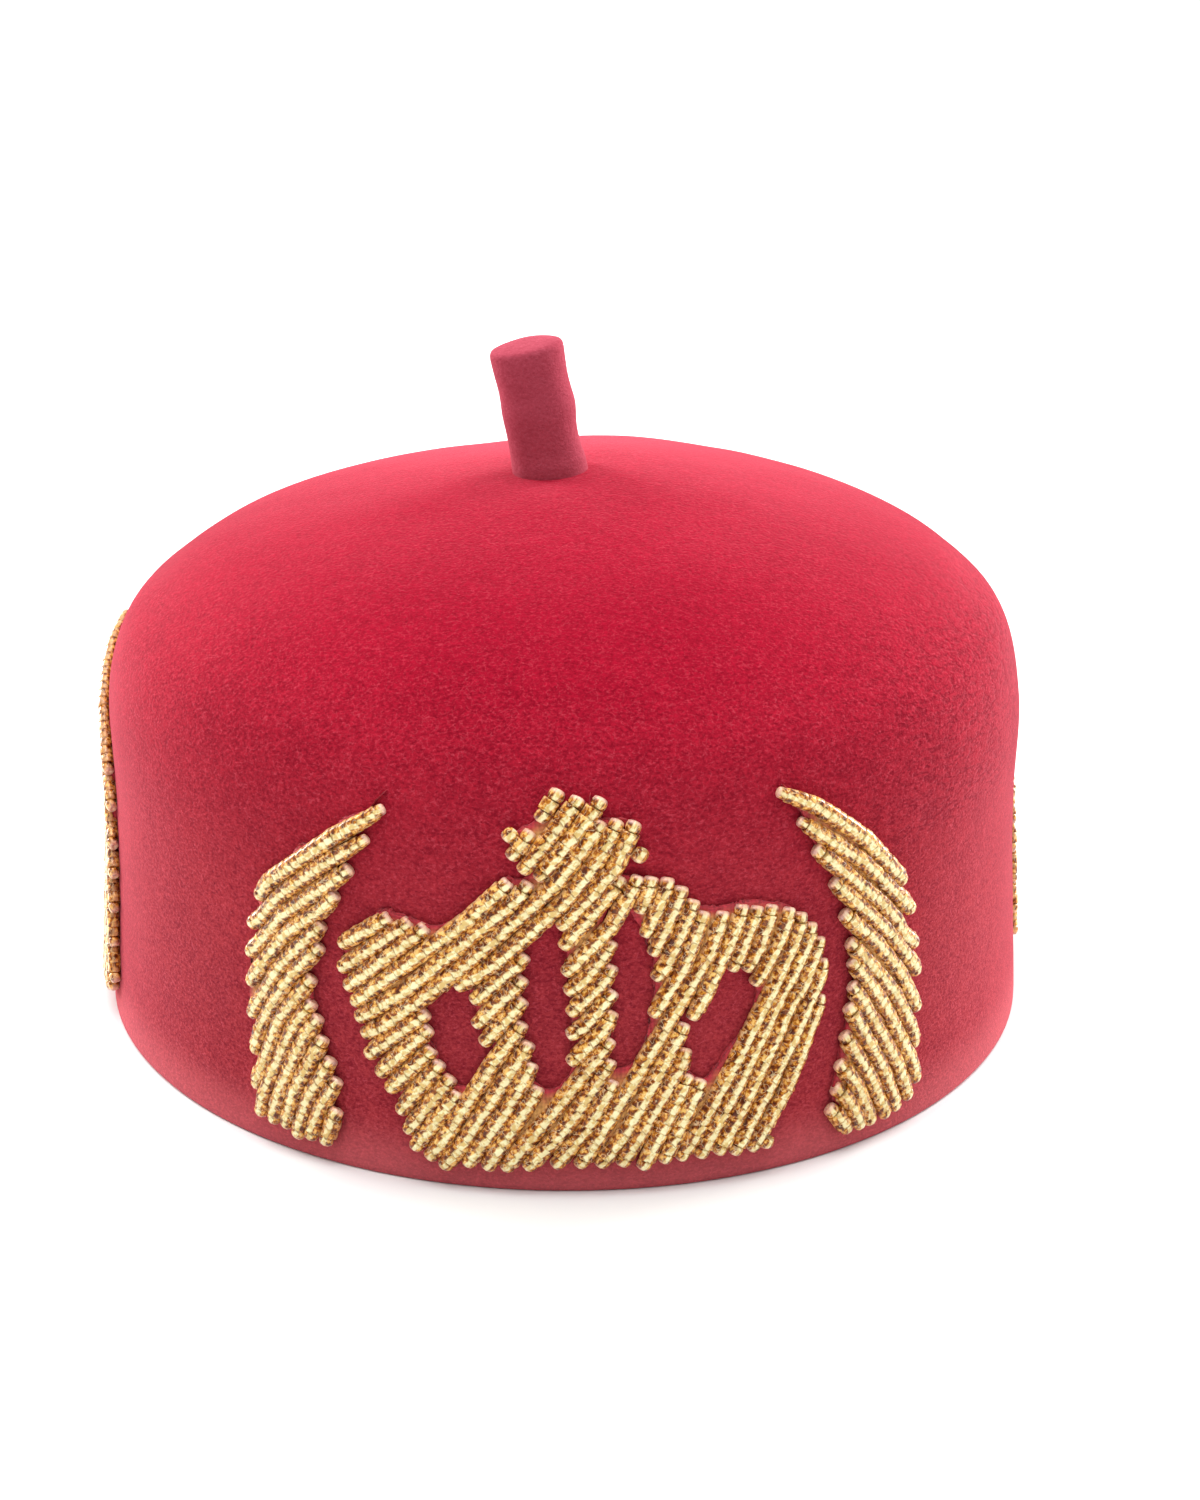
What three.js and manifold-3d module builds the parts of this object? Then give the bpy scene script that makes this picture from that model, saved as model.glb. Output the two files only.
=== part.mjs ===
// A tall felt cap with bead embroidery: an oval fez with a leaning felt stem on its top.
// Three bead sets, each a crown between two tusks, stand round the wall on thin red padding.
// Millimetres, +Z up. The rim lies on z = 0 and the front crown faces -Y.
import * as THREE from "three";
import { mergeVertices } from "three/addons/utils/BufferGeometryUtils.js";
import Module from "manifold-3d";

const wasm = await Module();
wasm.setup();

// Cap
const capWidth = 184;
const capDepth = 198;
const capHeight = 108.5;
const feltThickness = 3;

// Stem
const stemDiameter = 14.6;
const stemHeight = 24;
const stemEdgeRound = 1.6;
const stemLeanDegrees = 10.5;
const stemAside = 3;

// Bead sets
const rimToBeads = 4.3;
const crownWidth = 90;
const crownHeight = 72;
const tuskWidth = 22.2;
const tuskHeight = 69;
const sideTuskSpread = 5.2;
const sideTuskLeanDegrees = 9;
const padThickness = 0.7;
const beadRise = 1.5;
const seatGap = 0.3;
const padAside = 0.6;
const padUp = 0.8;

// Facets
const facetsAround = 44;
const stemFacets = 18;
const edgeFacets = 2;

// The cap's outside from the rim to the top: reach is a share of the half width, up of the height.
// The last number in a row is how many facets lead on to the next one.
const capProfile = [
  { reach: 1.03, up: 0, facets: 1 },
  { reach: 1.015, up: 0.2, facets: 1 },
  { reach: 1.0, up: 0.42, facets: 1 },
  { reach: 1.0, up: 0.6, facets: 2 },
  { reach: 0.967, up: 0.73, facets: 2 },
  { reach: 0.883, up: 0.805, facets: 2 },
  { reach: 0.78, up: 0.862, facets: 2 },
  { reach: 0.62, up: 0.916, facets: 1 },
  { reach: 0.4, up: 0.962, facets: 1 },
  { reach: 0.2, up: 0.99, facets: 1 },
  { reach: 0, up: 1, facets: 0 },
];

// Where each set's middle stands, as a share of the way round from the front toward +X.
// Its tusks' feet stand further apart and their tips lean in by shares of the side sets' sizes.
const beadSets = [
  { name: "front", turn: 0, spread: 0, lean: 0 },
  { name: "left", turn: -0.327, spread: 1, lean: 1 },
  { name: "right", turn: 0.352, spread: 0.4, lean: 0.65 },
];

// The crown's outline from its lower left corner: across is a share of its width, up of its height.
const crownOutline = [
  { across: -0.33, up: 0.01 },
  { across: -0.36, up: 0.09 },
  { across: -0.4, up: 0.19 },
  { across: -0.44, up: 0.27 },
  { across: -0.46, up: 0.34 },
  { across: -0.48, up: 0.41 },
  { across: -0.51, up: 0.48 },
  { across: -0.51, up: 0.54 },
  { across: -0.47, up: 0.6 },
  { across: -0.42, up: 0.66 },
  { across: -0.35, up: 0.65 },
  { across: -0.31, up: 0.63 },
  { across: -0.27, up: 0.65 },
  { across: -0.22, up: 0.7 },
  { across: -0.16, up: 0.78 },
  { across: -0.11, up: 0.78 },
  { across: -0.15, up: 0.84 },
  { across: -0.16, up: 0.89 },
  { across: -0.1, up: 0.93 },
  { across: -0.06, up: 1 },
  { across: 0.02, up: 0.98 },
  { across: 0.03, up: 0.92 },
  { across: 0.09, up: 0.92 },
  { across: 0.1, up: 0.85 },
  { across: 0.06, up: 0.79 },
  { across: 0.12, up: 0.79 },
  { across: 0.17, up: 0.76 },
  { across: 0.22, up: 0.69 },
  { across: 0.26, up: 0.68 },
  { across: 0.31, up: 0.69 },
  { across: 0.38, up: 0.67 },
  { across: 0.43, up: 0.64 },
  { across: 0.47, up: 0.57 },
  { across: 0.49, up: 0.5 },
  { across: 0.49, up: 0.42 },
  { across: 0.48, up: 0.34 },
  { across: 0.44, up: 0.25 },
  { across: 0.41, up: 0.17 },
  { across: 0.37, up: 0.09 },
  { across: 0.36, up: 0.02 },
  { across: 0.2, up: 0.02 },
  { across: 0, up: 0.01 },
  { across: -0.15, up: 0 },
];

// The crown's four openings, left to right, in the same shares.
const crownOpenings = [
  [
    { across: -0.32, up: 0.44 },
    { across: -0.27, up: 0.48 },
    { across: -0.24, up: 0.46 },
    { across: -0.22, up: 0.38 },
    { across: -0.19, up: 0.31 },
    { across: -0.21, up: 0.25 },
    { across: -0.25, up: 0.21 },
    { across: -0.28, up: 0.27 },
    { across: -0.31, up: 0.36 },
  ],
  [
    { across: -0.13, up: 0.58 },
    { across: -0.11, up: 0.65 },
    { across: -0.08, up: 0.67 },
    { across: -0.06, up: 0.63 },
    { across: -0.05, up: 0.45 },
    { across: -0.04, up: 0.29 },
    { across: -0.05, up: 0.24 },
    { across: -0.08, up: 0.22 },
    { across: -0.11, up: 0.28 },
    { across: -0.12, up: 0.4 },
  ],
  [
    { across: 0.05, up: 0.64 },
    { across: 0.07, up: 0.68 },
    { across: 0.09, up: 0.63 },
    { across: 0.11, up: 0.53 },
    { across: 0.12, up: 0.45 },
    { across: 0.11, up: 0.39 },
    { across: 0.09, up: 0.3 },
    { across: 0.06, up: 0.26 },
    { across: 0.05, up: 0.34 },
  ],
  [
    { across: 0.27, up: 0.51 },
    { across: 0.31, up: 0.5 },
    { across: 0.33, up: 0.43 },
    { across: 0.3, up: 0.35 },
    { across: 0.26, up: 0.28 },
    { across: 0.23, up: 0.23 },
    { across: 0.2, up: 0.25 },
    { across: 0.19, up: 0.34 },
    { across: 0.22, up: 0.42 },
  ],
];

// The tusk's two edges at each height: shares of its width, from the crown's side outwards.
const tuskSections = [
  { up: 0, outer: 0.849, inner: 0.122 },
  { up: 0.11, outer: 0.909, inner: 0.016 },
  { up: 0.23, outer: 0.955, inner: 0.077 },
  { up: 0.37, outer: 0.970, inner: 0.213 },
  { up: 0.49, outer: 0.955, inner: 0.228 },
  { up: 0.6, outer: 0.894, inner: 0.152 },
  { up: 0.72, outer: 0.682, inner: 0.001 },
  { up: 0.82, outer: 0.379, inner: -0.165 },
  { up: 0.91, outer: 0.016, inner: -0.332 },
  { up: 1, outer: -0.423, inner: -0.514 },
];

const halfWidth = capWidth / 2;
const halfDepth = capDepth / 2;
const stemRadius = stemDiameter / 2;

// Felt is soft and matt, the glass beads are glossy gold.
const materials = {
  cap: new THREE.MeshStandardMaterial({ color: 0xb8203c, roughness: 0.95, metalness: 0 }),
  stem: new THREE.MeshStandardMaterial({ color: 0xa8233f, roughness: 0.95, metalness: 0 }),
  pad: new THREE.MeshStandardMaterial({ color: 0xa3142c, roughness: 0.85, metalness: 0 }),
  beads: new THREE.MeshStandardMaterial({ color: 0xd9a441, roughness: 0.25, metalness: 0.6 }),
};

// A closed geometry as a solid that can be cut and joined.
function solidOf(geometry) {
  const bare = geometry.clone();
  bare.deleteAttribute("normal");
  bare.deleteAttribute("uv");
  const merged = mergeVertices(bare, 1e-4);
  const vertProperties = new Float32Array(merged.attributes.position.array);
  const triVerts = new Uint32Array(merged.index.array);
  return new wasm.Manifold(new wasm.Mesh({ numProp: 3, vertProperties, triVerts }));
}

// A cut or joined solid as a geometry again.
function geometryOf(solid) {
  const { vertProperties, triVerts } = solid.getMesh();
  const geometry = new THREE.BufferGeometry();
  geometry.setAttribute("position", new THREE.BufferAttribute(vertProperties, 3));
  geometry.setIndex(new THREE.BufferAttribute(triVerts, 1));
  return geometry;
}

// The cap's profile moved out along its own normal, from the rim up to the axis.
function profileAt(offset) {
  const rows = capProfile.map(({ reach, up }) => new THREE.Vector2(reach * halfWidth, up * capHeight));
  const curve = new THREE.SplineCurve(rows);
  const spans = capProfile.length - 1;
  const points = [];
  capProfile.forEach(({ facets }, row) => {
    for (let facet = 0; facet < facets; facet += 1) {
      const share = (row + facet / facets) / spans;
      const point = curve.getPoint(share);
      const along = curve.getTangent(share);
      points.push(new THREE.Vector2(point.x + along.y * offset, point.y - along.x * offset));
    }
  });
  points[0].y = 0;
  points.push(new THREE.Vector2(0, capHeight + offset));
  return points;
}

// A profile turned round the upright axis and drawn out to the cap's oval.
function ovalTurn(profile) {
  const geometry = new THREE.LatheGeometry(profile, facetsAround);
  geometry.rotateX(Math.PI / 2);
  geometry.scale(1, capDepth / capWidth, 1);
  return geometry;
}

// The layer of the cap between two distances from its outside.
function layer(innerOffset, outerOffset) {
  return ovalTurn([...profileAt(innerOffset).reverse(), ...profileAt(outerOffset)]);
}

function capBody() {
  return layer(-feltThickness, 0);
}

// Everything inside the cap's outside, with room to seat a piece on it.
function filledCap(clearance) {
  return ovalTurn([new THREE.Vector2(0, 0), ...profileAt(clearance)]);
}

// A felt cylinder with a softly rounded top edge, leaning to -X, its foot cut to the cap's top.
function stem() {
  const edgeMiddle = new THREE.Vector2(stemRadius - stemEdgeRound, stemHeight - stemEdgeRound);
  const edge = Array.from({ length: edgeFacets + 1 }, (_, step) => {
    const turn = (Math.PI / 2) * (step / edgeFacets);
    const out = new THREE.Vector2(Math.cos(turn), Math.sin(turn));
    return out.multiplyScalar(stemEdgeRound).add(edgeMiddle);
  });
  const foot = -stemRadius;
  const side = [new THREE.Vector2(0, foot), new THREE.Vector2(stemRadius, foot)];
  const geometry = new THREE.LatheGeometry([...side, ...edge, new THREE.Vector2(0, stemHeight)], stemFacets);
  geometry.rotateX(Math.PI / 2);
  geometry.rotateY(-THREE.MathUtils.degToRad(stemLeanDegrees));
  geometry.translate(-stemAside, 0, capHeight);
  return geometryOf(solidOf(geometry).subtract(solidOf(filledCap(seatGap))));
}

// The oval at the middle of the wall, from the front toward +X, for distances measured round it.
const oval = new THREE.EllipseCurve(0, 0, halfWidth, halfDepth, -Math.PI / 2, (3 * Math.PI) / 2);
oval.arcLengthDivisions = 720;
const wayRound = oval.getLength();

// A flat outline wrapped round the cap, thick enough to pass through its wall.
// Its middle line stands that far round the oval, and it is raised by the lift.
function wrapped(shape, middle, lift) {
  const inside = 0.6;
  const outside = 1.5;
  const geometry = new THREE.ExtrudeGeometry(shape, { depth: 1, bevelEnabled: false });
  const position = geometry.attributes.position;
  for (let i = 0; i < position.count; i += 1) {
    const share = THREE.MathUtils.euclideanModulo((middle + position.getX(i)) / wayRound, 1);
    const place = oval.getPointAt(share).multiplyScalar(position.getZ(i) > 0 ? outside : inside);
    position.setXYZ(i, place.x, place.y, position.getY(i) + lift);
  }
  return geometry;
}

function crownPoint({ across, up }) {
  return new THREE.Vector2(across * crownWidth, rimToBeads + up * crownHeight);
}

// The outline runs clockwise, so each opening is turned to run the other way.
function crownShape() {
  const shape = new THREE.Shape(crownOutline.map(crownPoint));
  shape.holes = crownOpenings.map((opening) => new THREE.Path(opening.map(crownPoint).reverse()));
  return shape;
}

// side is -1 for the tusk at the crown's left and 1 for the one at its right.
function tuskShape(side, { spread, lean }) {
  const inward = Math.tan(THREE.MathUtils.degToRad(lean * sideTuskLeanDegrees));
  const edge = (key) =>
    tuskSections.map((row) => {
      const rise = row.up * tuskHeight;
      const beside = crownWidth / 2 + row[key] * tuskWidth;
      const across = beside + spread * sideTuskSpread - rise * inward;
      return new THREE.Vector2(side * across, rimToBeads + rise);
    });
  return new THREE.Shape([...edge("outer"), ...edge("inner").reverse()]);
}

function named(name, geometry, material) {
  const mesh = new THREE.Mesh(geometry, material);
  mesh.name = name;
  return mesh;
}

const padLayer = solidOf(layer(seatGap, seatGap + padThickness));
const beadFoot = seatGap + padThickness + seatGap;
const beadLayer = solidOf(layer(beadFoot, beadFoot + beadRise));

// One motif: its padding, a little up and to the left of its beads, and the field of beads.
function motif(name, shape, middle) {
  const pad = solidOf(wrapped(shape, middle - padAside, padUp)).intersect(padLayer);
  const beads = solidOf(wrapped(shape, middle, 0)).intersect(beadLayer);
  const group = new THREE.Group();
  group.add(named(name + "_pad", geometryOf(pad), materials.pad));
  group.add(named(name + "_beads", geometryOf(beads), materials.beads));
  return group;
}

function beadSet(set) {
  const middle = set.turn * wayRound;
  const group = new THREE.Group();
  group.add(motif(set.name + "_crown", crownShape(), middle));
  group.add(motif(set.name + "_tusk_left", tuskShape(-1, set), middle));
  group.add(motif(set.name + "_tusk_right", tuskShape(1, set), middle));
  return group;
}

const hat = new THREE.Group();
hat.add(named("cap_body", capBody(), materials.cap));
hat.add(named("stem", stem(), materials.stem));
beadSets.forEach((set) => hat.add(beadSet(set)));

// The origin is the middle of the space that the hat takes up on a table.
const middle = new THREE.Box3().setFromObject(hat).getCenter(new THREE.Vector3());
hat.position.set(-middle.x, -middle.y, 0);

export default hat;
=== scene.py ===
# %% [markdown]
# # A felt cap with bead embroidery
#
# The real cap is one moulded shell of crimson felt with a short felt stem. Its wall carries three
# bead sets: a crown between two tusks, in strings of gold glass beads on thin red padding.
# The measured model of the cap is loaded first and stays as it is. Each soft or beaded part of it
# is then replaced by a finer piece that keeps the same place and the same outline.

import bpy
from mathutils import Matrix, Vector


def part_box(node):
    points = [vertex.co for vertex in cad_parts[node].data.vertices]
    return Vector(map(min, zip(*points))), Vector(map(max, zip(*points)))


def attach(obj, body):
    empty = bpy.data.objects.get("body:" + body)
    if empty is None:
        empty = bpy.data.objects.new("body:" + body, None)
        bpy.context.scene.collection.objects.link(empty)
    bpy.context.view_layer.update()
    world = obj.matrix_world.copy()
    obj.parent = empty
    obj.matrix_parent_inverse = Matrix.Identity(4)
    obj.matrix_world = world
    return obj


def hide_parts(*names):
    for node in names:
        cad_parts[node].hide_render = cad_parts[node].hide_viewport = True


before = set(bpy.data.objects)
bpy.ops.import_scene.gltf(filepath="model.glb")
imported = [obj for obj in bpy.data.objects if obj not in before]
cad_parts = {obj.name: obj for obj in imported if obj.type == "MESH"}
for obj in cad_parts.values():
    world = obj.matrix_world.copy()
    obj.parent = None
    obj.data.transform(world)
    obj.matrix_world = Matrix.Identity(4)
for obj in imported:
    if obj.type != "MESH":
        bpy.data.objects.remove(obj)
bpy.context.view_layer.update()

# %% Tools and units
import math
import random

import bmesh
import bpy
import numpy as np
from mathutils import Matrix, Vector, noise
from mathutils.kdtree import KDTree

mm = 0.001
dice = random.Random(11)

# %% [markdown]
# ## The view
#
# The cap is seen from about 0.6 m away and 20 degrees above its rim, a little from the left of
# the crown's middle. A camera can be aimed by hand, but working it out from a distance and two
# angles keeps it easy to check. The lens is shifted a little, because the cap stands left of the
# picture's middle.

# %% Camera
body_low, body_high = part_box("cap_body")
middle = Vector(((body_low.x + body_high.x) / 2, (body_low.y + body_high.y) / 2, 0))
aim = middle + Vector((0, 0, 47.4 * mm))
turn, lift = math.radians(-2.7), math.radians(20.26)
back = Vector((math.sin(turn) * math.cos(lift), -math.cos(turn) * math.cos(lift), math.sin(lift)))

camera = bpy.data.objects.new("camera", bpy.data.cameras.new("camera"))
bpy.context.collection.objects.link(camera)
camera.location = aim + back * 600 * mm
camera.rotation_mode = "QUATERNION"
camera.rotation_quaternion = (-back).to_track_quat("-Z", "Y")
camera.data.lens = 69.3
camera.data.shift_x = 0.0242
camera.data.clip_start = 0.02
bpy.context.scene.camera = camera
print("Camera at", [round(value, 3) for value in camera.location])

# %% [markdown]
# ## The cap's outside as a function
#
# Everything on this cap follows its wall: the padding, and each bead. So the wall is described
# once, as a profile from the rim to the top, turned round an oval. A place on it is given as on a
# tape measure: so many millimetres round from the front, and so many up from the table.

# %% The profile
half_width, half_depth = 92, 99
cap_height = 108.5
felt_thickness = 3

cap_profile = [  # share of the half width, share of the height
    (1.03, 0), (1.015, 0.2), (1.0, 0.42), (1.0, 0.6), (0.967, 0.73), (0.883, 0.805),
    (0.78, 0.862), (0.62, 0.916), (0.4, 0.962), (0.2, 0.99), (0, 1),
]


def smooth_line(rows, steps):
    """Points on a smooth curve through the rows, with so many steps between two of them."""
    rows = [Vector(row) for row in rows]
    line = []
    for i in range(len(rows) - 1):
        a, b, c, d = (rows[min(max(k, 0), len(rows) - 1)] for k in (i - 1, i, i + 1, i + 2))
        for k in range(steps):
            t = k / steps
            line.append(
                b + (c - a) * t / 2
                + (a - 2.5 * b + 2 * c - d / 2) * t**2
                + (1.5 * (b - c) + (d - a) / 2) * t**3
            )
    return line + [rows[-1]]


wall = smooth_line([(reach * half_width, up * cap_height) for reach, up in cap_profile], 8)
wall_up = [point.y for point in wall]
wall_reach = [point.x / half_width for point in wall]
print("The profile has", len(wall), "points")

# %% Distances round the oval
turns = np.linspace(-math.pi, math.pi, 2881)
steps = np.hypot(half_width * np.cos(turns), half_depth * np.sin(turns))
rounds = np.concatenate([[0], np.cumsum((steps[1:] + steps[:-1]) / 2 * np.diff(turns))])
way_round = rounds[-1]
rounds = rounds - way_round / 2
print("The way round is", round(way_round, 1), "mm")


def soft_step(value, low, high):
    """Goes softly from 0 to 1 as the value goes from low to high."""
    share = min(1, max(0, (value - low) / (high - low)))
    return share * share * (3 - 2 * share)


def wave(point):
    """How far the hand-blocked felt stands out from its true form here, in mm.

    The wall is a little fuller at half height, and the dome is a little lower on the left.
    """
    depth = 0.3 * noise.noise(point / 34) + 0.1 * noise.noise(point / 11)
    depth += 0.45 * math.exp(-(((point.z - 60) / 20) ** 2))
    depth -= 1.3 * soft_step(point.x, 22, -18) * soft_step(point.z, 66, 86)
    return depth * min(1, max(0, point.z / 15))


def on_wall(along, up, out=0.0):
    """The place so many mm round, up and out from the felt, in metres."""
    along = (along + way_round / 2) % way_round - way_round / 2
    angle = float(np.interp(along, rounds, turns))
    reach = float(np.interp(up, wall_up, wall_reach))
    slope = float(np.interp(up + 1, wall_up, wall_reach) - np.interp(up - 1, wall_up, wall_reach))
    slope /= min(up + 1, cap_height) - max(up - 1, 0)
    sin, cos = math.sin(angle), math.cos(angle)
    place = Vector((half_width * reach * sin, -half_depth * reach * cos, up))
    normal = Vector((half_depth * sin, -half_width * cos, -half_width * half_depth * slope))
    return middle + (place + normal.normalized() * (out + wave(place))) * mm

# %% [markdown]
# ## Shader sums as plain expressions
#
# A felt or glass finish is mostly sums on masks. In the node editor each sum is a Math node. Here
# a small class wraps a socket, so that `mask * 0.5 + 0.2` adds those nodes by itself. Any other
# node comes from one method, which sets the node up before it fills its sockets.

# %% Sockets that do sums
class Value:
    """The output of a node, which can be added, multiplied and so on."""

    def __init__(self, paint, socket):
        self.paint, self.socket = paint, socket

    def sum(self, operation, *values):
        return self.paint.sum(operation, *values)

    def __add__(self, other):
        return self.sum("ADD", self, other)

    def __sub__(self, other):
        return self.sum("SUBTRACT", self, other)

    def __rsub__(self, other):
        return self.sum("SUBTRACT", other, self)

    def __mul__(self, other):
        return self.sum("MULTIPLY", self, other)

    def __pow__(self, other):
        return self.sum("POWER", self, other)

    __radd__ = __add__
    __rmul__ = __mul__


class Paint:
    """A material, or the light of the surroundings, under construction."""

    def __init__(self, name, kind="materials"):
        self.made = getattr(bpy.data, kind).new(name)
        self.made.use_nodes = True
        self.tree = self.made.node_tree
        self.tree.nodes.clear()

    def add(self, kind, sockets=None, output=0, stops=None, **settings):
        """Adds a node and returns one of its outputs."""
        node = self.tree.nodes.new(kind)
        for key, value in settings.items():
            setattr(node, key, value)
        if stops:
            ramp = node.color_ramp
            while len(ramp.elements) < len(stops):
                ramp.elements.new(1)
            for element, (place, colour) in zip(ramp.elements, stops):
                element.position = place
                element.color = (*colour, 1)
        for key, value in (sockets or {}).items():
            if isinstance(value, Value):
                self.tree.links.new(value.socket, node.inputs[key])
            else:
                node.inputs[key].default_value = value
        return Value(self, node.outputs[output])

    def noise(self, place, scale, detail=2, roughness=0.5):
        sockets = {"Vector": place, "Scale": scale, "Detail": detail, "Roughness": roughness}
        return self.add("ShaderNodeTexNoise", sockets)

    def ease(self, value, low, high, first=0, last=1):
        """Goes from first to last, softly, as the value goes from low to high."""
        sockets = {0: value, 1: low, 2: high, 3: first, 4: last}
        return self.add("ShaderNodeMapRange", sockets, interpolation_type="SMOOTHSTEP")

    def curls(self, place, scale, width):
        """Thin curly lines: where a smooth noise crosses its middle value."""
        level = self.noise(place, scale, 1, 0.5) - 0.5
        return self.ease(self.sum("ABSOLUTE", level), 0, width, 1, 0)

    def sum(self, operation, *values):
        return self.add("ShaderNodeMath", dict(enumerate(values)), operation=operation)

    def mix(self, share, first, second, blend="MIX"):
        sockets = {0: share, 6: first, 7: second}
        return self.add("ShaderNodeMix", sockets, 2, data_type="RGBA", blend_type=blend)

    def finish(self, kind="BsdfPrincipled", end="OutputMaterial", **sockets):
        """Adds the shader and the output. Socket names use _ for a space."""
        sockets = {key.replace("_", " "): value for key, value in sockets.items()}
        surface = self.add("ShaderNode" + kind, sockets)
        last = self.tree.nodes.new("ShaderNode" + end)
        self.tree.links.new(surface.socket, last.inputs["Surface"])
        print(self.made.name, "has", len(self.tree.nodes), "nodes")
        return self.made


# %% [markdown]
# ## Felt
#
# Wool felt is matt and soft. Close to, it is a nap of short fibres: darker and lighter specks well
# under a millimetre, single pale hairs, a few press marks on the right, and a bloom where the
# surface turns away, because the fibre tips catch the light. Towards the table the colour is
# paler and a touch darker: painted sheen and shade. A paler band along the rim is a painted
# highlight. Specks and marks are noise on the object's own coordinates. A hair is the thin curly
# line where such a noise crosses its middle value. The bloom is the shader's sheen.

# %% Felt finishes
def felt(name, colour, dark, painted_low_tint, bloom, sheen):
    """Felt between two colours. Its lower part is multiplied by a tint: painted sheen and shade."""
    paint = Paint(name)
    place = paint.add("ShaderNodeTexCoord", output=3)
    flat = paint.add("ShaderNodeVectorMath", {0: place, 1: (1, 1, 1.7)}, operation="MULTIPLY")
    cloud = paint.noise(place, 30, 3)
    speck = paint.noise(flat, 1200, 2, 0.65)
    fibre = paint.noise(place, 1900, 2, 0.7)
    rows = paint.noise(flat, 260, 2)
    tone = (speck - 0.5) * 2.1 + (fibre - 0.5) * 1.7 + (cloud - 0.5) * 0.7 + (rows - 0.5) * 0.6
    up = paint.add("ShaderNodeSeparateXYZ", {0: place}, 2)
    calm = paint.ease(up, 78 * mm, 100 * mm, 1, 0.6)
    shade = paint.add("ShaderNodeClamp", {0: 0.5 + tone * calm})
    low = paint.ease(up, 25 * mm, 105 * mm, 1, 0)
    hair = paint.curls(place, 620, 0.035) + paint.curls(flat, 900, 0.035)
    hair = hair * paint.ease(speck, 0.4, 0.55) * calm
    # Painted highlight: a paler band along the lower rim, where the rim catches the light.
    edge = paint.ease(up, 0, 13 * mm, 0.25, 0)
    low_wide = paint.add("ShaderNodeVectorMath", {0: place, 1: (1, 1, 3.5)}, operation="MULTIPLY")
    right = paint.ease(paint.add("ShaderNodeSeparateXYZ", {0: place}, 0), 25 * mm, 70 * mm)
    pressed = right * paint.ease(up, 50 * mm, 62 * mm) * paint.ease(up, 98 * mm, 80 * mm)
    marks = paint.ease(paint.noise(low_wide, 330, 1), 0.5, 0.4) * pressed
    base = paint.mix(shade - marks * 0.35, (*dark, 1), (*colour, 1))
    # Painted sheen and shade: towards the table the felt is made paler and a touch darker.
    base = paint.mix(low * 0.9, base, paint.mix(1.0, base, (*painted_low_tint, 1), "MULTIPLY"))
    height = speck * 0.6 + fibre * 0.5 + rows * 0.4 + hair * 0.12 - marks * 0.5
    bump = paint.add(
        "ShaderNodeBump", {"Height": height, "Strength": 0.5, "Distance": 0.4 * mm}
    )
    base = paint.mix(hair * 0.2, base, (*bloom, 1))
    return paint.finish(
        Base_Color=paint.mix(edge, base, (0.95, 0.26, 0.28, 1)),
        Roughness=0.86 + 0.1 * speck,
        Sheen_Weight=sheen,
        Sheen_Roughness=0.35,
        Sheen_Tint=(1, 0.24, 0.31, 1),
        Specular_IOR_Level=0.03,
        Normal=bump,
    )


cap_felt = felt(
    "cap_felt",
    colour=(0.41, 0.003, 0.025), dark=(0.21, 0.001, 0.012), painted_low_tint=(0.98, 15, 2.1),
    bloom=(0.68, 0.1, 0.14), sheen=0.46,
)
# The stem's felt is paler and pinker than the cap's: partly its own colour, partly painted sheen.
stem_felt = felt(
    "stem_felt",
    colour=(0.43, 0.066, 0.1), dark=(0.3, 0.036, 0.058), painted_low_tint=(1, 1, 1),
    bloom=(0.56, 0.14, 0.19), sheen=0.25,
)

# %% [markdown]
# ## Padding
#
# Under each bead field lies a thin red cloth padding. Only its edge shows, as a soft lip beside
# the outermost beads. It is a little pinker and smoother than the felt, with a fine weave.

# %% Padding finish
def cloth(name):
    paint = Paint(name)
    place = paint.add("ShaderNodeTexCoord", output=3)
    threads = [
        paint.add(
            "ShaderNodeTexWave", {"Vector": place, "Scale": 420, "Distortion": 1.2},
            bands_direction=direction,
        )
        for direction in ("Z", "X")
    ]
    weave = (threads[0] + threads[1]) * 0.5
    wear = paint.noise(place, 700, 3, 0.6)
    share = paint.add("ShaderNodeClamp", {0: weave * 0.4 + (wear - 0.5) * 1.6 + 0.3})
    red = paint.mix(share, (0.26, 0.01, 0.018, 1), (0.62, 0.04, 0.06, 1))
    # Painted light: inside the padding the cloth turns amber, for light thrown on it by the glass.
    amber = paint.mix(share, (0.3, 0.11, 0.02, 1), (0.8, 0.42, 0.12, 1))
    inside = paint.add("ShaderNodeAttribute", output=2, attribute_name="pad_inside")
    bump = paint.add(
        "ShaderNodeBump", {"Height": weave + wear, "Strength": 0.4, "Distance": 0.2 * mm}
    )
    return paint.finish(
        Base_Color=paint.mix(inside, red, amber),
        Roughness=0.7 + 0.15 * wear,
        Sheen_Weight=0.2,
        Sheen_Roughness=0.4,
        Sheen_Tint=(1, 0.3, 0.35, 1),
        Normal=bump,
    )


pad_cloth = cloth("pad_cloth")
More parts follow.
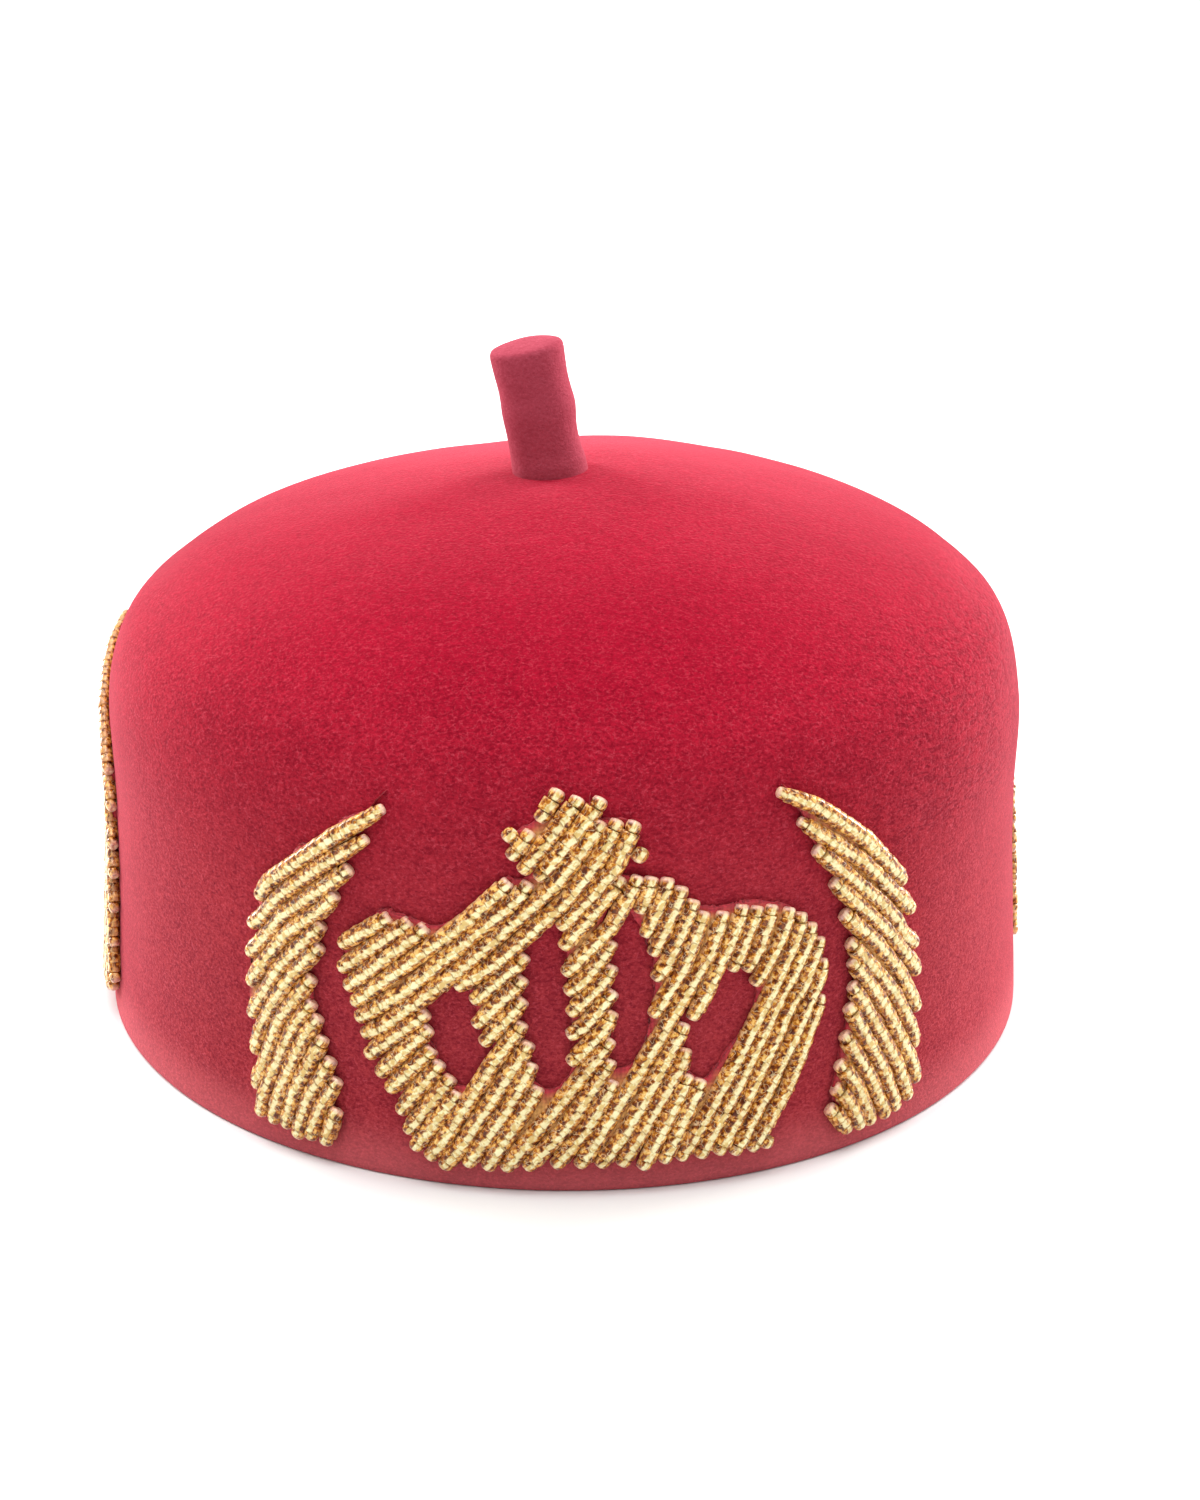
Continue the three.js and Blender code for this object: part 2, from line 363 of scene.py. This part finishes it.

# %% [markdown]
# ## Gold glass
#
# The beads are clear amber glass with a bright lining in the hole. Such glass could be traced, but
# three thousand lined beads render slowly and can't be exported. So its light is painted. Straight
# above the hole a painted highlight, a narrow cream stripe, stands for the lining shining through.
# Beside it painted shade and reflections stand for light that has gone through more glass: amber,
# then brown, with orange glints where a wall mirrors the next bead. Each bead carries its own
# coordinates, and the finish reads how far across and how far along a spot lies. A metal share and
# a clear coat give the gloss.

# %% Bead finish
def bead_glass(name):
    paint = Paint(name)
    spot = paint.add("ShaderNodeAttribute", output=1, attribute_name="bead_place")
    across, along = (paint.add("ShaderNodeSeparateXYZ", {0: spot}, output) for output in (0, 1))
    tone = paint.add("ShaderNodeAttribute", output=2, attribute_name="bead_tone")
    place = paint.add("ShaderNodeTexCoord", output=3)
    tip = paint.add("ShaderNodeAttribute", output=2, attribute_name="bead_tip")
    own = paint.add(
        "ShaderNodeVectorMath", {0: spot, 1: (1.7, 1, 1.7), 2: tone * 40}, operation="MULTIPLY_ADD"
    )
    flow = paint.noise(place, 650, 2, 0.6)
    glint = paint.noise(own, 1.0, 2, 0.55)
    off = paint.sum("ABSOLUTE", across - along * 0.14 + (flow - 0.5) * 0.5)

    # Painted shade and reflections: noise on each bead's own coordinates gives dark brown, amber
    # and orange glints.
    body = paint.add("ShaderNodeValToRGB", {0: paint.ease(glint, 0.34, 0.68)}, stops=[
        (0.0, (0.1, 0.018, 0.002)),
        (0.35, (0.32, 0.08, 0.007)),
        (0.7, (0.64, 0.24, 0.018)),
        (1.0, (0.98, 0.62, 0.17)),
    ])
    # Painted light: the bead's sides turn paler tan, for light coming through the glass from
    # behind.
    body = paint.mix(paint.ease(off, 0.84, 1.0, 0, 0.6), body, (0.84, 0.52, 0.25, 1))
    # Painted reflections: thin pale curly lines where the glass catches the light.
    body = paint.mix(paint.curls(place, 700, 0.03) * 0.6, body, (1, 0.78, 0.45, 1))
    # Painted highlight: a cream stripe where the lining shines through the glass, cut by dark
    # joints.
    highlight_stripe = paint.ease(off, 0.24, 0.42, 1, 0)
    lining_highlight = paint.mix(paint.ease(glint, 0.38, 0.58), (0.8, 0.58, 0.2, 1), (1, 0.95, 0.56, 1))
    slant = paint.sum("ABSOLUTE", along + across * 0.8 + (flow - 0.5) * 0.6)
    slot = paint.ease(slant, 0.76, 0.9) * paint.ease(flow, 0.58, 0.42)
    lining_highlight = paint.mix(slot * 0.75, lining_highlight, (0.4, 0.2, 0.04, 1))
    # Painted highlight: a string's end beads turn pinker and paler towards its ends.
    tip_highlight = paint.ease(along * tip, 0.0, 0.7)
    warm = paint.mix(tone, (0.88, 0.8, 0.72, 1), (1, 1, 1, 1))
    colour = paint.mix(tip_highlight * 0.6, paint.mix(highlight_stripe, body, lining_highlight), (1, 0.62, 0.54, 1))
    return paint.finish(
        Base_Color=paint.mix(1.0, colour, warm, "MULTIPLY"),
        Metallic=0.1,
        Roughness=0.22 + 0.2 * flow,
        Specular_IOR_Level=0.2,
        Coat_Weight=0.4,
        Coat_Roughness=0.08,
        Coat_IOR=1.5,
    )


gold_glass = bead_glass("gold_glass")

# %% [markdown]
# ## The cap
#
# A felt cap is blocked: one sheet pulled over a form. So its mesh is one profile, inner and outer
# wall together with the softly cut rim, spun round the upright axis and drawn out to the oval.
# Spinning gives an even, closed shell. A slight wave in the surface keeps it from looking turned.

# %% Helpers for finished pieces
def piece(name, bm, material, slot, *nodes):
    """Makes the mesh a piece that stands for the named parts of the measured model."""
    mesh = bpy.data.meshes.new(name)
    for face in bm.faces:
        face.smooth = True
    bm.to_mesh(mesh)
    bm.free()
    made = bpy.data.objects.new(name, mesh)
    bpy.context.collection.objects.link(made)
    mesh.materials.append(material)
    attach(made, "root")
    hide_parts(*nodes)
    return made


def spun(points, steps):
    """A bmesh of the profile turned once round the upright axis. Points are (reach, up) in mm."""
    bm = bmesh.new()
    verts = [bm.verts.new((reach * mm, 0, up * mm)) for reach, up in points]
    edges = [bm.edges.new(pair) for pair in zip(verts, verts[1:])]
    bmesh.ops.spin(
        bm, geom=verts + edges, cent=(0, 0, 0), axis=(0, 0, 1), dvec=(0, 0, 0),
        angle=2 * math.pi, steps=steps, use_merge=True, use_duplicate=False,
    )
    bmesh.ops.remove_doubles(bm, verts=bm.verts, dist=0.005 * mm)
    bmesh.ops.recalc_face_normals(bm, faces=bm.faces)
    return bm


# %% The felt shell
outside = [Vector((0, 0)) + point for point in wall]
inside = []
for before, point, after in zip(wall, wall[1:], wall[2:]):
    run = (after - before).normalized()
    inside.append(point + Vector((-run.y, run.x)) * felt_thickness)
inside.append(Vector((0, cap_height - felt_thickness)))

rim = outside[0].x
cut_edge = [(rim - 2.9, 2.0), (rim - 2.9, 0.8), (rim - 2.5, 0.15), (rim - 1.9, 0), (rim - 1, 0)]
cut_edge += [(rim - 0.4, 0.12), (rim - 0.1, 0.5)]
profile = [point for point in reversed(inside) if point.y > 3] + cut_edge + outside[1:]
shell = spun(profile, 180)
bmesh.ops.scale(shell, vec=(1, half_depth / half_width, 1), verts=shell.verts)
shell.normal_update()
for vert in shell.verts:
    side = 1 if vert.normal.dot(vert.co) > 0 else -1
    vert.co += vert.normal * side * wave(vert.co / mm) * mm
bmesh.ops.translate(shell, vec=middle, verts=shell.verts)
cap = piece("felt_cap", shell, cap_felt, "cap_felt", "cap_body")
print("The felt cap has", len(cap.data.polygons), "faces")

# %% [markdown]
# ## The stem
#
# The stem is a short rolled plug of the same felt, sewn on where the crown of the cap is highest.
# It leans to the left, swells a little below its middle and has a slightly crowned top. It is
# spun upright from a short profile, its surface is moved a little, and then it is tilted.

# %% The stem
stem_aside = -3
stem_lean = math.radians(-10.5)
stem_profile = smooth_line(
    [(0, -4), (6.6, -4), (7.5, -0.6), (7.25, 3), (7.15, 8), (7.3, 12), (7.1, 16), (7.2, 20.5)], 5
)
stem_profile += smooth_line([(7.3, 23), (7.15, 24.2), (6.3, 24.8), (3.5, 25.2), (0, 25.3)], 5)
plug = spun(stem_profile, 48)
plug.normal_update()
for vert in plug.verts:
    spot = vert.co / mm
    bulge = math.exp(-((spot - Vector((7, -1, 10.5))).length / 3.2) ** 2)
    dent = math.exp(-((spot - Vector((7, -2, 6.5))).length / 3.0) ** 2)
    push = 0.2 * bulge - 0.15 * dent + 0.3 * noise.noise(spot / 9)
    vert.co += vert.normal * push * mm
bmesh.ops.rotate(plug, cent=(0, 0, 0), matrix=Matrix.Rotation(stem_lean, 3, "Y"), verts=plug.verts)
bmesh.ops.translate(
    plug, vec=middle + Vector((stem_aside, 0, cap_height)) * mm, verts=plug.verts
)
stem = piece("felt_stem", plug, stem_felt, "stem_felt", "stem")
print("The stem has", len(stem.data.polygons), "faces")

# %% [markdown]
# ## The padding
#
# Each padding is a flat cut piece that follows the wall. The measured model already holds its
# outline, so its mesh is copied, its loose triangles are merged, and it is unrolled: round and up
# become flat coordinates. There it is easy to trim with an inset, to thicken with an extrude and
# to divide finely. Last, every point is laid on the wall again. Away from its edge the cloth swells
# up between the strings, and the glass throws amber light on it, so each point also keeps how far
# inside it lies.

# %% The nine pads
pad_trim = 0.8
pad_shift = Vector((-0.3, 1.1, 0))
pad_foot, pad_top = 0.05, 0.9
pad_swell = 0.5
pad_lip, pad_slope = 0.9, 1.2  # how far inside the swelling starts, and how far it rises
pad_rounding = 12  # passes that smooth the cut edge


def unrolled(point):
    """The inverse of on_wall for a point in metres: (round, up, out) in mm, roughly."""
    spot = (point - middle) / mm
    angle = math.atan2(spot.x / half_width, -spot.y / half_depth)
    reach = math.hypot(spot.x / half_width, spot.y / half_depth)
    proud = (reach - float(np.interp(spot.z, wall_up, wall_reach))) * half_width
    return Vector((float(np.interp(angle, turns, rounds)), spot.z, proud))


def pad(name):
    bm = bmesh.new()
    bm.from_mesh(bpy.data.objects[name].data)
    bmesh.ops.remove_doubles(bm, verts=bm.verts, dist=0.02 * mm)
    for vert in bm.verts:
        vert.co = unrolled(vert.co)
    inner = [face for face in bm.faces if any(vert.co.z < 0.6 for vert in face.verts)]
    bmesh.ops.delete(bm, geom=inner, context="FACES")
    for vert in bm.verts:
        vert.co.z = pad_foot
    bmesh.ops.dissolve_limit(bm, angle_limit=0.02, verts=bm.verts, edges=bm.edges)
    ring = bmesh.ops.inset_region(
        bm, faces=bm.faces, thickness=pad_trim, use_boundary=True, use_even_offset=False
    )
    bmesh.ops.delete(bm, geom=ring["faces"], context="FACES")
    bmesh.ops.triangulate(bm, faces=bm.faces)
    for reach in (8, 4, 2):
        long_edges = [edge for edge in bm.edges if edge.calc_length() > reach]
        bmesh.ops.subdivide_edges(bm, edges=long_edges, cuts=1)
        bmesh.ops.triangulate(bm, faces=[face for face in bm.faces if len(face.verts) > 3])
    for _ in range(pad_rounding):
        border = [vert for vert in bm.verts if vert.is_boundary]
        bmesh.ops.smooth_vert(
            bm, verts=border, factor=0.5, use_axis_x=True, use_axis_y=True, use_axis_z=True
        )
    border = KDTree(sum(vert.is_boundary for vert in bm.verts))
    for vert in bm.verts:
        if vert.is_boundary:
            border.insert(vert.co, vert.index)
    border.balance()
    raised = bmesh.ops.extrude_face_region(bm, geom=bm.faces)["geom"]
    raised = {vert for vert in raised if isinstance(vert, bmesh.types.BMVert)}
    inside = []
    for vert in bm.verts:
        depth = min(1, max(0, border.find(vert.co)[2] - pad_lip) / pad_slope)
        inside.append(depth)
        spot = vert.co + pad_shift
        out = pad_top + pad_swell * depth if vert in raised else pad_foot
        vert.co = on_wall(spot.x, spot.y, out)
    bmesh.ops.recalc_face_normals(bm, faces=bm.faces)
    made = piece(name.replace("_pad", "_padding"), bm, pad_cloth, "pad_cloth", name)
    kept = made.data.attributes.new("pad_inside", "FLOAT", "POINT")
    kept.data.foreach_set("value", inside)
    return made


set_names = ("front", "left", "right")
motif_names = ("crown", "tusk_left", "tusk_right")
for set_name in set_names:
    for motif_name in motif_names:
        made = pad(f"{set_name}_{motif_name}_pad")
        print(made.name, "has", len(made.data.polygons), "faces")

# %% [markdown]
# ## The bead strings
#
# The embroiderer lays strings of beads side by side across each shape, so a string is the unit to
# draw. Each string of the front motifs is kept as its few chosen points, (round, up) in mm, from
# its lower end to its upper end, with the crown's middle at 0. The side sets repeat the front one.

# %% The strings
crown_strings = [
    [(-45.5, 44), (-35.6, 51.3)],
    [(-45.5, 39.3), (-31.8, 50.9)],
    [(-44.2, 36), (-28.8, 50.3)],
    [(-43, 33.2), (-22.2, 51.7), (-13.9, 60.4)],
    [(-42, 30.5), (-32.5, 37.6), (-12.2, 57.8), (-10.4, 60.3)],
    [(-40.9, 27.6), (-36.5, 30.3), (-22.3, 43.3), (-5.5, 60.8), (2, 71)],
    [(-23.5, 39.3), (-16.5, 44.5), (-3.8, 57.8), (1.5, 65), (4.7, 71.2)],
    [(-20.5, 36.8), (-11.1, 46.2)],
    [(-20, 32.3), (-11.5, 41.9)],
    [(-18.7, 29), (-11.5, 37.8)],
    [(-40.2, 23.7), (-28.7, 33.9)],
    [(-38, 20.5), (-28.2, 31)],
    [(-36, 17.8), (-27.7, 27)],
    [(-33.9, 13.8), (-26.2, 24.6)],
    [(-32.3, 10.3), (-24.3, 22)],
    [(-31, 7.3), (-23.1, 19.2)],
    [(-28.5, 5.8), (-26, 9), (-17.2, 25), (-11.7, 33.3)],
    [(-25.9, 4.3), (-22.4, 9), (-10.6, 29.6)],
    [(-21.5, 5.3), (-14.2, 17), (-10.1, 25.7)],
    [(-18.1, 5), (-8.9, 21.2)],
    [(-15, 5), (3.5, 30.3)],
    [(-11.1, 5.5), (-4.5, 13.3), (3.6, 26.3)],
    [(-6.3, 6), (-0.8, 13.2), (4.1, 22.4)],
    [(-2, 6), (20.8, 45.3), (23.5, 53)],
    [(1.5, 6), (5.8, 12), (16.5, 32.3)],
    [(5.2, 6), (15.7, 24.5), (16.8, 27.5)],
    [(8.9, 5), (17.2, 22.5)],
    [(12.7, 6), (19.5, 21.2)],
    [(15.7, 6.2), (34.2, 38.5), (37.9, 46.5), (38.8, 50)],
    [(19.1, 6.2), (34.5, 34.7), (37.7, 39.5), (40.3, 44.5), (41, 47.5)],
    [(22.5, 6.3), (36.7, 32.8), (39.5, 36.3), (42.9, 44.3)],
    [(25.5, 5.7), (42.5, 36), (43.7, 39.9)],
    [(28.8, 5.8), (36, 17), (43.2, 33)],
    [(31.7, 5.9), (32.1, 7.8)],
    [(17.9, 33), (25, 47.5), (27.1, 53.7)],
    [(25.3, 41.3), (29.9, 53)],
    [(28, 40.8), (30.5, 45.5), (32.8, 52.7)],
    [(29.5, 37.8), (34, 45), (36.3, 51.5)],
    [(8.5, 54.5), (10.5, 61)],
    [(9.5, 49.8), (13.5, 60.5)],
    [(10.8, 46), (15.8, 58.7)],
    [(11.3, 41.2), (13.3, 44), (18, 56)],
    [(10.8, 34.3), (16.3, 43.3), (19.8, 53.5)],
    [(-14.5, 67.8), (-13.2, 69.5)],
    [(-13.7, 64.6), (-10.1, 69.3)],
    [(-8.8, 71.2), (-5.4, 76.2)],
    [(-11.8, 62.3), (-1.9, 75)],
    [(-9, 61), (2, 74.8)],
    [(-5.3, 51.8), (4, 63), (7.7, 70.8)],
    [(7.7, 64), (8.9, 66)],
    [(-4.8, 48), (5.2, 61.2)],
    [(-4.5, 42.8), (3.3, 51.8), (8.2, 61.2)],
    [(-4.1, 39.2), (-1, 42), (3.9, 49)],
    [(-3.7, 35.1), (2, 41.2), (3.9, 44.3)],
    [(-3.8, 31), (-1, 33), (4, 39.4)],
    [(-3.6, 25.8), (1.8, 31.8), (4, 35.5)],
]

left_tusk_strings = [
    [(-63.7, 48.9), (-60.3, 53.4), (-45.8, 64.9), (-36.6, 71.2)],
    [(-65.9, 43.1), (-63.4, 44.7), (-58.2, 51), (-48.4, 59.2), (-39.5, 65.5)],
    [(-66.5, 37.1), (-63.4, 39.9), (-57.9, 47), (-43, 59.4)],
    [(-66.1, 31.3), (-57.4, 43.4), (-48.7, 50.7), (-46.1, 53.9)],
    [(-65.7, 25.1), (-58.5, 36.8), (-49.2, 47.2)],
    [(-64.9, 18), (-62.5, 24.8), (-59.5, 30), (-55.5, 36.2), (-49.8, 42.8)],
    [(-64.5, 11.2), (-58.5, 26.5), (-51.5, 36.3)],
    [(-63.5, 6), (-61.2, 13), (-55.5, 25.5), (-51.5, 31.5)],
    [(-60.5, 5.4), (-57.9, 13.5), (-52.8, 24.8), (-50, 29)],
    [(-57.4, 5.4), (-55.1, 13), (-49.1, 25.2)],
    [(-54.8, 4.2), (-52, 12.8), (-47.4, 21.3)],
    [(-51.9, 4.6), (-49.8, 10.8), (-46.2, 17.6)],
    [(-48.7, 4.4), (-46.2, 11.8)],
]

right_tusk_strings = [
    [(62.9, 50), (51.9, 61.6), (40.8, 70), (33.9, 73.3)],
    [(65.6, 43.4), (52.1, 57), (37.8, 67.6)],
    [(66.9, 36.2), (62.9, 39.4), (60.5, 43.5), (55.6, 48.9), (41.2, 62)],
    [(67.6, 30.4), (59.1, 41), (45.3, 54.8)],
    [(67.2, 23.2), (62.2, 32.2), (55.6, 40.5), (47.9, 47.8)],
    [(66.6, 16), (65, 20.8), (60.2, 29.2), (49.5, 41.8)],
    [(66.9, 8.8), (65, 13.8), (57.8, 27.2), (50.1, 38)],
    [(64.5, 6.2), (61.2, 14.2), (50, 33.4)],
    [(61.3, 5), (57.2, 14.8), (49.2, 29.4)],
    [(58.5, 4.6), (53.8, 14.5), (48.1, 24.1)],
    [(54.8, 4.5), (51, 13.2), (47, 18.7)],
    [(52.3, 4.4), (48.5, 11.5), (46.2, 14.1)],
    [(49.4, 4.6), (44.9, 10.4)],
]

# %% [markdown]
# ## One bead
#
# A seed bead is a short rounded tube. It is spun from its section round its own hole, with few
# faces, because it is repeated about three thousand times. Inside a string the beads press end to
# end, so they are made straighter there than the round ones at both ends. Each bead's coordinates
# are kept on its points, for the finish to read.

# %% One bead
bead_pitch = 1.87
bead_across = 3.55
bead_thick = 2.7
bead_lift = 1.15
bead_overlap = 1.12  # a bead's length as a share of its pitch
bead_drop = 0.2
end_bead_size, end_bead_tip = 0.82, 0.3
string_drop = 0.35
point_size, point_growth = 0.74, 0.05  # a pointed string's last bead, and the growth per bead


def make_bead(half):
    """A bead lying along Y, of unit half sizes, from half of its section."""
    bm = bmesh.new()
    section = half + [(reach, -end) for reach, end in reversed(half)]
    verts = [bm.verts.new((0, end, reach)) for reach, end in section]
    edges = [bm.edges.new(pair) for pair in zip(verts, verts[1:])]
    bmesh.ops.spin(
        bm, geom=verts + edges, cent=(0, 0, 0), axis=(0, 1, 0), dvec=(0, 0, 0),
        angle=2 * math.pi, steps=9, use_merge=True, use_duplicate=False,
    )
    bmesh.ops.remove_doubles(bm, verts=bm.verts, dist=0.01)
    bmesh.ops.holes_fill(bm, edges=bm.edges, sides=9)
    bmesh.ops.recalc_face_normals(bm, faces=bm.faces)
    mesh = bpy.data.meshes.new("bead")
    bm.to_mesh(mesh)
    bm.free()
    spots = [tuple(vert.co) for vert in mesh.vertices]
    print("A bead has", len(mesh.polygons), "faces and", len(spots), "points")
    return mesh, spots


inner_bead = make_bead([(0.34, 0.96), (0.8, 1.0), (0.97, 0.97), (1.0, 0.8)])
end_bead = make_bead([(0.3, 0.86), (0.58, 1.0), (0.87, 0.82), (1.0, 0.36)])
bead_faces, bead_points = len(inner_bead[0].polygons), len(inner_bead[1])

# %% Laying the strings
def along_string(points, reach):
    """The place (round, up) that far along a string, in mm."""
    for a, b in zip(points, points[1:]):
        run = (b - a).length
        if reach <= run or b is points[-1]:
            return a.lerp(b, reach / run)
        reach -= run


def bead_field(name, strings, place, pointed):
    """All beads of one motif as one piece. Place turns (round, up) into a spot on this cap.

    So many strings as pointed says, counted from the first, thin out towards their upper end.
    """
    bm = bmesh.new()
    tones, tips, spots = [], [], []
    for number, points in enumerate(strings):
        points = [place(along, up - string_drop) for along, up in points]
        length = sum((b - a).length for a, b in zip(points, points[1:]))
        count = max(1, round(length / bead_pitch))
        pitch = length / count
        string_tone = dice.uniform(0.35, 0.75)
        for i in range(count):
            here, ahead, behind = (
                along_string(points, (i + 0.5) * pitch + step) for step in (0, 0.4, -0.4)
            )
            out = bead_lift + dice.uniform(-0.12, 0.12)
            aside = dice.uniform(-0.08, 0.08)
            spot = on_wall(here.x + aside, here.y, out)
            run = on_wall(ahead.x, ahead.y, out) - on_wall(behind.x, behind.y, out)
            up = (on_wall(here.x, here.y, out + 1) - spot).normalized() - Vector((0, 0, bead_drop))
            run = run.normalized()
            up = (up - run * run.dot(up)).normalized()
            frame_of = Matrix((run.cross(up), run, up)).transposed()
            at_end = i in (0, count - 1)
            tip = -end_bead_tip if i == 0 else end_bead_tip if at_end else 0
            wobble = Matrix.Rotation(dice.uniform(-0.07, 0.07) - tip, 3, "X")
            wobble @= Matrix.Rotation(dice.uniform(-0.05, 0.13), 3, "Z")
            size = dice.uniform(0.97, 1.03) * (end_bead_size if at_end else 1)
            if number < pointed:
                size *= min(1, point_size + point_growth * (count - 1 - i))
            sizes = Matrix.Diagonal((bead_across * size, pitch * bead_overlap, bead_thick * size))
            sizes *= 0.5
            bead, bead_spots = end_bead if at_end else inner_bead
            copy = bead.copy()
            copy.transform(Matrix.Translation(spot) @ (frame_of @ wobble @ sizes * mm).to_4x4())
            bm.from_mesh(copy)
            bpy.data.meshes.remove(copy)
            tones.append(min(1, max(0, string_tone + dice.uniform(-0.35, 0.35))))
            tips.append(-0.6 if i == 0 else 1 if i == count - 1 else 0)
            spots += bead_spots
    made = piece(name.replace("_beads", "_seed_beads"), bm, gold_glass, "gold_beads", name)
    places = made.data.attributes.new("bead_place", "FLOAT_VECTOR", "POINT")
    places.data.foreach_set("vector", np.array(spots).ravel())
    for title, values in (("bead_tone", tones), ("bead_tip", tips)):
        kept = made.data.attributes.new(title, "FLOAT", "POINT")
        kept.data.foreach_set("value", np.repeat(values, bead_points))
    return made


# %% [markdown]
# ## The three sets
#
# The cap carries the same crown and tusks three times. At its sides the tusks stand a little wider
# at the foot and lean further in. The tusks' first two strings end in a point.

# %% The three sets
motif_strings = dict(zip(motif_names, (crown_strings, left_tusk_strings, right_tusk_strings)))
motif_sides = {"crown": 0, "tusk_left": -1, "tusk_right": 1}
bead_sets = {  # place as a share of the way round, then shares of the side tusks' spread and lean
    "front": (0, 0, 0),
    "left": (-0.327, 1, 1),
    "right": (0.352, 0.4, 0.65),
}
side_tusk_spread = 5.2
side_tusk_lean = math.radians(9)
string_foot = 4.3
pointed_strings = 2

for set_name, (share, spread, lean) in bead_sets.items():
    for motif_name, strings in motif_strings.items():
        side = motif_sides[motif_name]

        def place(along, up):
            inward = (up - string_foot) * math.tan(lean * side_tusk_lean)
            aside = side * (spread * side_tusk_spread - inward)
            return Vector((share * way_round + along + aside, up))

        pointed = pointed_strings if side else 0
        made = bead_field(f"{set_name}_{motif_name}_beads", strings, place, pointed)
        print(made.name, "has", len(made.data.polygons) // bead_faces, "beads")

# %% [markdown]
# ## Table and light
#
# The cap was shown on plain white. Its top is brightest, its wall darkens towards the table, and
# its two sides glow where the felt turns away. So most light comes from straight above, some from
# the sides and from behind, and least from the viewer's side. A painted sky gives that more softly
# than lamps would. One lamp overhead adds the small sparks on the glass, and two beside the cap,
# the right one stronger, brighten its turned-away sides.

# %% Table
sheet = bmesh.new()
bmesh.ops.create_grid(sheet, x_segments=1, y_segments=1, size=30)
table_mesh = bpy.data.meshes.new("table")
sheet.to_mesh(table_mesh)
sheet.free()
table = bpy.data.objects.new("table", table_mesh)
bpy.context.collection.objects.link(table)
table_mesh.materials.append(
    Paint("table_white").finish(Base_Color=(0.8, 0.8, 0.8, 1), Roughness=0.9)
)

# %% Sky
sky = Paint("studio", "worlds")
way = sky.add("ShaderNodeTexCoord")
right, behind, above = (sky.add("ShaderNodeSeparateXYZ", {0: way}, output) for output in range(3))
above, behind = sky.sum("MAXIMUM", above, 0), sky.sum("MAXIMUM", behind, 0)
sides = 1.5 * right * right * (1 - above)
light = 0.02 + 3.8 * above**4 + sides + 2.5 * behind * (1.1 - above)
bpy.context.scene.world = sky.finish("Background", "OutputWorld", Strength=light)
bpy.context.scene.view_settings.view_transform = "Standard"

# %% Lamps
def lamp(name, place, size, power):
    light = bpy.data.lights.new(name, "AREA")
    light.size = size
    light.energy = power
    made = bpy.data.objects.new(name, light)
    bpy.context.collection.objects.link(made)
    made.location = place
    made.rotation_mode = "QUATERNION"
    made.rotation_quaternion = (Vector(place) - aim).to_track_quat("Z", "Y")
    made.visible_camera = False


lamp("overhead", (-0.15, -0.2, 1.3), 0.8, 6)
lamp("right", (1.1, 0.7, 0.35), 0.6, 22)
lamp("left", (-1.0, 0.85, 0.35), 0.6, 19)
print("Three lamps, and a sky that is brightest straight above")
